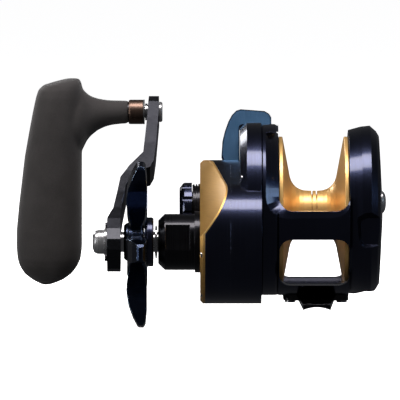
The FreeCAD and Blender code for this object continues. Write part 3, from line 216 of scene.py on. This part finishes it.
# navy_star: the bright blue edge colour is a painted highlight on the star's bevels
NAVY_EDGE = metal("navy_star", (0.008, 0.014, 0.034), (0.016, 0.028, 0.062), (0.34, 0.46, 0.62), rough=0.22, spread=0.04, streak=(400, 400, 3000), edge_highlight_amount=0.9, radius=0.0003, coat=0.4)
GOLD = metal("gold_anodised", (0.62, 0.37, 0.12), (0.72, 0.45, 0.165), (1.0, 0.84, 0.52), rough=0.40, spread=0.05, streak=(5000, 80, 80), metallic=0.72, coat=0.15)
GOLDP = metal("gold_plate", (0.42, 0.235, 0.062), (0.52, 0.30, 0.088), (0.95, 0.72, 0.38), rough=0.40, spread=0.05, streak=(120, 120, 3000), metallic=0.8, coat=0.1)
BLACK = metal("black_anodised", (0.008, 0.008, 0.010), (0.018, 0.018, 0.021), (0.16, 0.16, 0.18), rough=0.30, coat=0.3)
ARM = metal("arm_black", (0.014, 0.015, 0.018), (0.030, 0.031, 0.036), (0.14, 0.16, 0.20), rough=0.38, streak=(700, 700, 5000), coat=0.15)
LEVER = metal("lever_blue", (0.020, 0.046, 0.086), (0.030, 0.064, 0.112), (0.045, 0.09, 0.15), rough=0.34, spread=0.04, streak=(3000, 200, 200), edge_highlight_amount=0.3)


def painted_rim_shade(mat, radius):
    """A dark band along the piece's outline: painted shade where the rounded rim turns away from the lights."""
    nt_ = mat.node_tree
    bs = [n for n in nt_.nodes if n.type == "BSDF_PRINCIPLED"][0]
    src = bs.inputs["Base Color"].links[0].from_socket
    bv_, rim_shade_mask = edge_mask(nt_, radius, 0.004, 0.03)
    bv_.samples = 8
    # near-black colour mixed in along the outline: painted shade
    nt_.links.new(mix_rgb(nt_, rim_shade_mask, src, (0.003, 0.004, 0.008)), bs.inputs["Base Color"])


# painted shade along the clutch lever's outline
painted_rim_shade(LEVER, 0.0011)
STEEL = metal("turned_steel", (0.42, 0.42, 0.43), (0.66, 0.66, 0.67), (0.85, 0.85, 0.86), rough=0.22)
CHROME = metal("polished_steel", (0.34, 0.34, 0.35), (0.44, 0.44, 0.45), (0.62, 0.62, 0.62), rough=0.27, spread=0.05, metallic=0.85)
COPPER = metal("copper_anodised", (0.095, 0.062, 0.048), (0.15, 0.10, 0.078), (0.36, 0.28, 0.23), rough=0.36, spread=0.04, streak=(5000, 120, 120))
BRASS = metal("machined_brass", (0.42, 0.30, 0.12), (0.62, 0.46, 0.20), (0.85, 0.70, 0.40), rough=0.26)
BLKSTEEL = metal("blackened_steel", (0.02, 0.02, 0.022), (0.05, 0.05, 0.055), (0.25, 0.25, 0.26), rough=0.35)
FOOT = metal("foot_black", (0.006, 0.006, 0.007), (0.014, 0.014, 0.016), (0.12, 0.12, 0.13), rough=0.20, streak=(300, 300, 300), coat=0.6)
PLASTIC = plastic("moulded_black", (0.012, 0.012, 0.013), (0.03, 0.03, 0.032))
RUBBER = plastic("seal_rubber", (0.010, 0.010, 0.010), (0.022, 0.022, 0.022), rough=0.7)
CARBON = plastic("carbon_weave", (0.010, 0.010, 0.011), (0.05, 0.05, 0.052), rough=0.45, scale=1800)
FOAM = plastic("eva_foam", (0.013, 0.0115, 0.011), (0.026, 0.0235, 0.023), rough=0.80, scale=2600, bump=0.30, sheen=0.10, dist=0.0002, spec=0.25)

GIVE = {
    NAVY: ["frame", "gear_side_plate", "gear_cover", "brake_knob", "drag_sleeve"],
    NAVY_EDGE: ["star_drag"],
    GOLD: ["spool"],
    GOLDP: ["cover_plate"],
    BLACK: ["drive_housing", "brake_boss", "knob_core"],
    ARM: ["handle_arm"],
    LEVER: ["clutch_lever"],
    STEEL: ["cover_screws", "side_plate_screws", "foot_screws", "spool_bearing_left", "spool_bearing_right", "pinion_bearing",
            "drive_shaft_bearing", "roller_clutch_ring", "clutch_rollers", "yoke_guides", "yoke_springs", "pawl_pin", "spool_shaft",
            "cross_pin", "drive_shaft", "drag_plate_inner", "drag_plate_outer", "ratchet_wheel", "ratchet_spacer", "roller_sleeve",
            "drag_spring_washers", "knob_spindle", "knob_screw", "anti_reverse_pawl"],
    CHROME: ["handle_nut", "handle_washer", "spindle_nut", "click_button"],
    COPPER: ["knob_collar"],
    BRASS: ["main_gear", "pinion", "clutch_yoke"],
    BLKSTEEL: ["arm_screws"],
    FOOT: ["reel_foot"],
    PLASTIC: ["roller_cage", "brake_pad", "click_gear", "click_pawl", "knob_flange", "knob_bushes"],
    RUBBER: ["housing_seal"],
    CARBON: ["drag_washer_inner", "drag_washer_outer"],
    FOAM: ["knob_grip"],
}
for mat_, names in GIVE.items():
    for n in names:
        o = nodes[n]
        for s in range(max(1, len(o.material_slots))):
            if len(o.material_slots) == 0:
                o.data.materials.append(mat_)
            else:
                o.material_slots[s].material = mat_


def mesh_piece(name, verts, faces, mat, smooth=True):
    me = bpy.data.meshes.new(name)
    me.from_pydata([tuple(v) for v in verts], [], faces)
    me.update()
    o = bpy.data.objects.new(name, me)
    bpy.context.collection.objects.link(o)
    me.materials.append(mat)
    if smooth:
        me.polygons.foreach_set("use_smooth", [True] * len(me.polygons))
    return o


def apply_mods(o):
    dg = bpy.context.evaluated_depsgraph_get()
    me = bpy.data.meshes.new_from_object(o.evaluated_get(dg))
    old = o.data
    o.modifiers.clear()
    o.data = me
    me.name = o.name
    bpy.data.meshes.remove(old)


# ------------------------------------------------------------------ foam grip
def ring_pts(cx, rx, ry, z, n=48, power=2.35):
    out = []
    for i in range(n):
        t = 2 * math.pi * i / n
        c, s = math.cos(t), math.sin(t)
        x = cx + rx * math.copysign(abs(c) ** (2 / power), c)
        y = ry * math.copysign(abs(s) ** (2 / power), s)
        out.append((x, y, z))
    return out


def grip():
    # rows of the cross bar: height from the knob axis, left edge, right edge, half depth (mm)
    rows = [
        (13.6, -99.6, -95.6, 2.6), (13.2, -101.6, -94.9, 5.0), (12.2, -105.4, -94.4, 7.8), (10.9, -109.6, -94.0, 9.7), (9.0, -111.6, -93.6, 10.8),
        (6.0, -112.6, -93.5, 11.5), (0.0, -113.9, -93.7, 12.0), (-8.0, -115.4, -93.9, 12.3), (-18.0, -117.2, -94.0, 12.4), (-28.0, -118.4, -94.0, 12.5), (-38.0, -119.6, -94.0, 12.5),
        (-48.0, -120.6, -94.0, 12.4), (-55.0, -120.6, -94.0, 12.1), (-59.5, -120.2, -94.6, 11.6), (-62.5, -119.3, -95.9, 10.8), (-65.5, -117.4, -98.2, 9.4), (-68.0, -114.2, -101.6, 7.2),
        (-69.6, -111.2, -105.6, 4.4), (-70.1, -110.0, -107.6, 2.0),
    ]
    n = 48
    verts, faces = [], []
    for z, a, b, ry in rows:
        verts += ring_pts((a + b) / 2, (b - a) / 2, ry, z, n)
    for k in range(len(rows) - 1):
        for i in range(n):
            j = (i + 1) % n
            faces.append((k * n + i, (k + 1) * n + i, (k + 1) * n + j, k * n + j))
    faces.append(tuple(range(n)))
    faces.append(tuple(reversed(range((len(rows) - 1) * n, len(rows) * n))))
    # neck flaring into the bar
    base = len(verts)
    neck = [(-106.0, 9.0, -19.0, 10.6), (-98.0, 9.2, -18.6, 10.4), (-95.0, 9.4, -17.6, 9.8), (-93.4, 9.0, -14.6, 8.8), (-91.9, 7.5, -11.5, 7.6), (-90.3, 6.4, -9.6, 6.6), (-87.6, 5.5, -7.4, 5.6),
            (-84.6, 4.95, -6.0, 5.0), (-82.0, 4.75, -5.3, 4.8), (-78.0, 4.66, -4.8, 4.66), (-75.3, 4.62, -4.66, 4.6), (-75.02, 4.5, -4.5, 4.5)]
    for x, zu, zl, ry in neck:
        zc, rz = (zu + zl) / 2, (zu - zl) / 2
        for i in range(n):
            t = 2 * math.pi * i / n
            verts.append((x, ry * math.cos(t), zc + rz * math.sin(t)))
    for k in range(len(neck) - 1):
        for i in range(n):
            j = (i + 1) % n
            faces.append((base + k * n + i, base + k * n + j, base + (k + 1) * n + j, base + (k + 1) * n + i))
    faces.append(tuple(base + i for i in reversed(range(n))))
    faces.append(tuple(base + (len(neck) - 1) * n + i for i in range(n)))
    verts = [(x * MM, y * MM + YK, z * MM + ZK) for x, y, z in verts]
    o = mesh_piece("grip_foam", verts, faces, FOAM)
    bm = bmesh.new()
    bm.from_mesh(o.data)
    bmesh.ops.recalc_face_normals(bm, faces=bm.faces[:])
    bm.to_mesh(o.data)
    bm.free()
    rm = o.modifiers.new("remesh", "REMESH")
    rm.mode = "VOXEL"
    rm.voxel_size = 0.0006
    rm.use_smooth_shade = True
    sm = o.modifiers.new("smooth", "SMOOTH")
    sm.factor = 0.5
    sm.iterations = 8
    apply_mods(o)
    o.data.polygons.foreach_set("use_smooth", [True] * len(o.data.polygons))
    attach(o, "handle_knob")
    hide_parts("knob_grip")
    return o


grip()

# ------------------------------------------------------------------ yoke springs, built as fixed coils (on the real reel they shorten as the yoke slides)
def spring_pair():
    verts, faces = [], []
    x0, x1, rr, wire, turns, seg, side = -40.8, -32.92, 1.6, 0.25, 6, 28, 8
    for gy, gz in ((-6.364, 13.140), (6.364, -13.140)):
        total = turns * seg
        base = len(verts)
        for k in range(total + 1):
            t = 2 * math.pi * k / seg
            x = x0 + wire + (x1 - x0 - 2 * wire) * k / total
            c = Vector((x, gy + rr * math.cos(t), gz + rr * math.sin(t)))
            out = Vector((0, math.cos(t), math.sin(t)))
            for i in range(side):
                a = 2 * math.pi * i / side
                p = c + (Vector((1, 0, 0)) * math.cos(a) + out * math.sin(a)) * (wire * 0.96)
                verts.append((p.x * MM, p.y * MM, p.z * MM + ZS))
        for k in range(total):
            for i in range(side):
                j = (i + 1) % side
                faces.append((base + k * side + i, base + k * side + j, base + (k + 1) * side + j, base + (k + 1) * side + i))
        faces.append(tuple(base + i for i in reversed(range(side))))
        faces.append(tuple(base + total * side + i for i in range(side)))
    o = mesh_piece("yoke_spring_coils", verts, faces, STEEL)
    bm = bmesh.new()
    bm.from_mesh(o.data)
    bmesh.ops.recalc_face_normals(bm, faces=bm.faces[:])
    bm.to_mesh(o.data)
    bm.free()
    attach(o, "reel_body")
    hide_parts("yoke_springs")
    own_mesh(o)
    return o


spring_pair()

# ------------------------------------------------------------------ stage, lights, camera
FLOOR_Z = cad_box[0][2] - 0.0008
me = bpy.data.meshes.new("floor")
me.from_pydata([(-4, -3, FLOOR_Z), (4, -3, FLOOR_Z), (4, 6, FLOOR_Z), (-4, 6, FLOOR_Z)], [], [(0, 1, 2, 3)])
floor = bpy.data.objects.new("floor", me)
bpy.context.collection.objects.link(floor)
m, nt, b = new_mat("floor_white")
b.inputs["Base Color"].default_value = (0.9, 0.9, 0.9, 1)
b.inputs["Roughness"].default_value = 0.9
b.inputs["Specular IOR Level"].default_value = 0.0
b.inputs["Emission Color"].default_value = (1, 1, 1, 1)
b.inputs["Emission Strength"].default_value = 0.93
me.materials.append(m)
floor.visible_glossy = False
floor.visible_diffuse = False

w = bpy.data.worlds.new("studio")
scene.world = w
w.use_nodes = True
nt = w.node_tree
bg = nt.nodes["Background"]
bg.inputs["Color"].default_value = (0.55, 0.56, 0.60, 1)
bg.inputs["Strength"].default_value = 0.10


def area(name, loc, target, sx, sy, power, color=(1, 1, 1)):
    l = bpy.data.lights.new(name, "AREA")
    l.shape = "RECTANGLE"
    l.size = sx
    l.size_y = sy
    l.energy = power
    l.color = color
    o = bpy.data.objects.new(name, l)
    bpy.context.collection.objects.link(o)
    o.location = loc
    d = Vector(target) - Vector(loc)
    o.rotation_euler = d.to_track_quat("-Z", "Y").to_euler()
    return o


CEN = (-0.046, 0.0, 0.036)
area("top_box", (-0.046, -0.14, 0.58), CEN, 0.80, 0.22, 7.0, (1.0, 0.95, 0.95))
area("left_box", (-0.60, -0.30, 0.14), CEN, 0.20, 0.40, 2.2)
area("right_box", (0.60, -0.22, 0.24), CEN, 0.17, 0.17, 0.55, (0.55, 0.78, 1.0))
fill = area("front_box", (-0.02, -1.10, 0.42), CEN, 0.60, 0.16, 5.0)
fill.visible_glossy = False
area("back_left", (-0.52, 0.70, 0.40), CEN, 0.26, 0.26, 1.7)
rim = area("back_box", (-0.02, 0.50, 0.30), CEN, 0.7, 0.16, 1.5)
rim.visible_glossy = False

cam_data = bpy.data.cameras.new("camera")
cam = bpy.data.objects.new("camera", cam_data)
bpy.context.collection.objects.link(cam)
scene.camera = cam
ELEV = math.radians(4.25)
aim = Vector((-0.0462, 0.0, ZS + 0.0046 / math.cos(ELEV)))
back = Vector((0, -math.cos(ELEV), math.sin(ELEV)))
DIST = 2.4
cam.location = aim + back * DIST
cam.rotation_euler = (-back).to_track_quat("-Z", "Y").to_euler()
cam_data.type = "PERSP"
cam_data.sensor_width = 36.0
cam_data.lens = 36.0 * DIST / 0.160
cam_data.clip_end = 50

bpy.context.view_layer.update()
